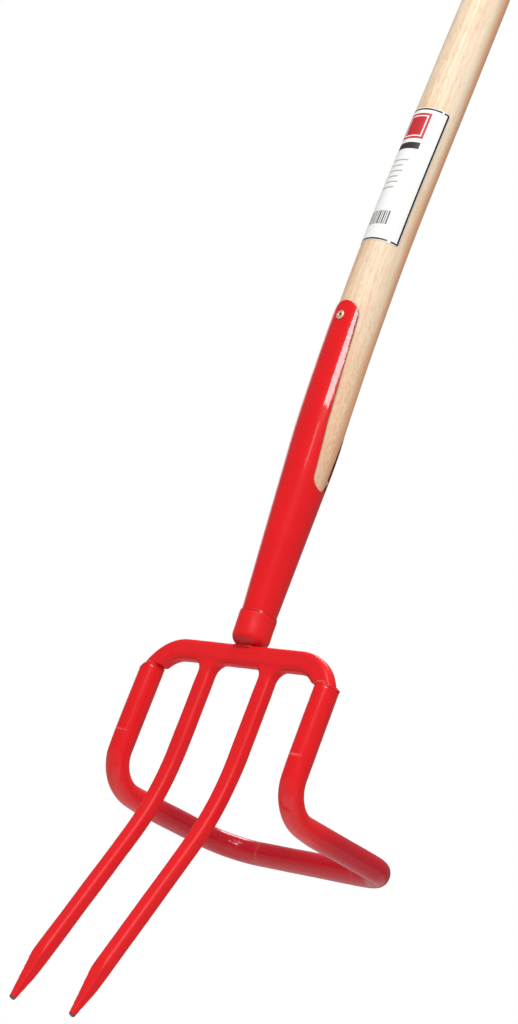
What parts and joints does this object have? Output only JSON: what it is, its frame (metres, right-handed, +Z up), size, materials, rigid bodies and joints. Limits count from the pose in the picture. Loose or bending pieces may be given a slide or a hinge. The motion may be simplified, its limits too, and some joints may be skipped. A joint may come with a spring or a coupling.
{
  "type": "lawn aerator fork",
  "caption": "Lawn aerator fork with curved steel tines, a tubular rocking heel and a straight ash shaft held in a strapped socket.",
  "frame": {"origin": "middle of the foot bar's underside, between the tine roots", "axes": "+Z up the tool, +X across the foot bar tines curve to -Y and the heel reaches to +Y"},
  "size_m": [0.212, 0.2303, 1.4436],
  "materials": {
    "ash_wood": "clear lacquer, straight grain along the shaft",
    "red_paint": "gloss red powder coat on steel",
    "weld_paint": "gloss red powder coat over rippled weld",
    "rivet_steel": "bare steel",
    "label_film": null
  },
  "bodies": {
    "root": {"handle_shaft": "ash_wood", "product_label": "label_film", "socket": "red_paint", "strap_rivet": "rivet_steel", "rivet_burr": "rivet_steel", "neck_cup": "red_paint", "cup_ring_weld": "weld_paint", "neck_weld": "weld_paint", "fork_head": "red_paint", "heel_loop": "red_paint", "loop_weld_left": "weld_paint", "loop_weld_right": "weld_paint"}
  },
  "joints": []
}
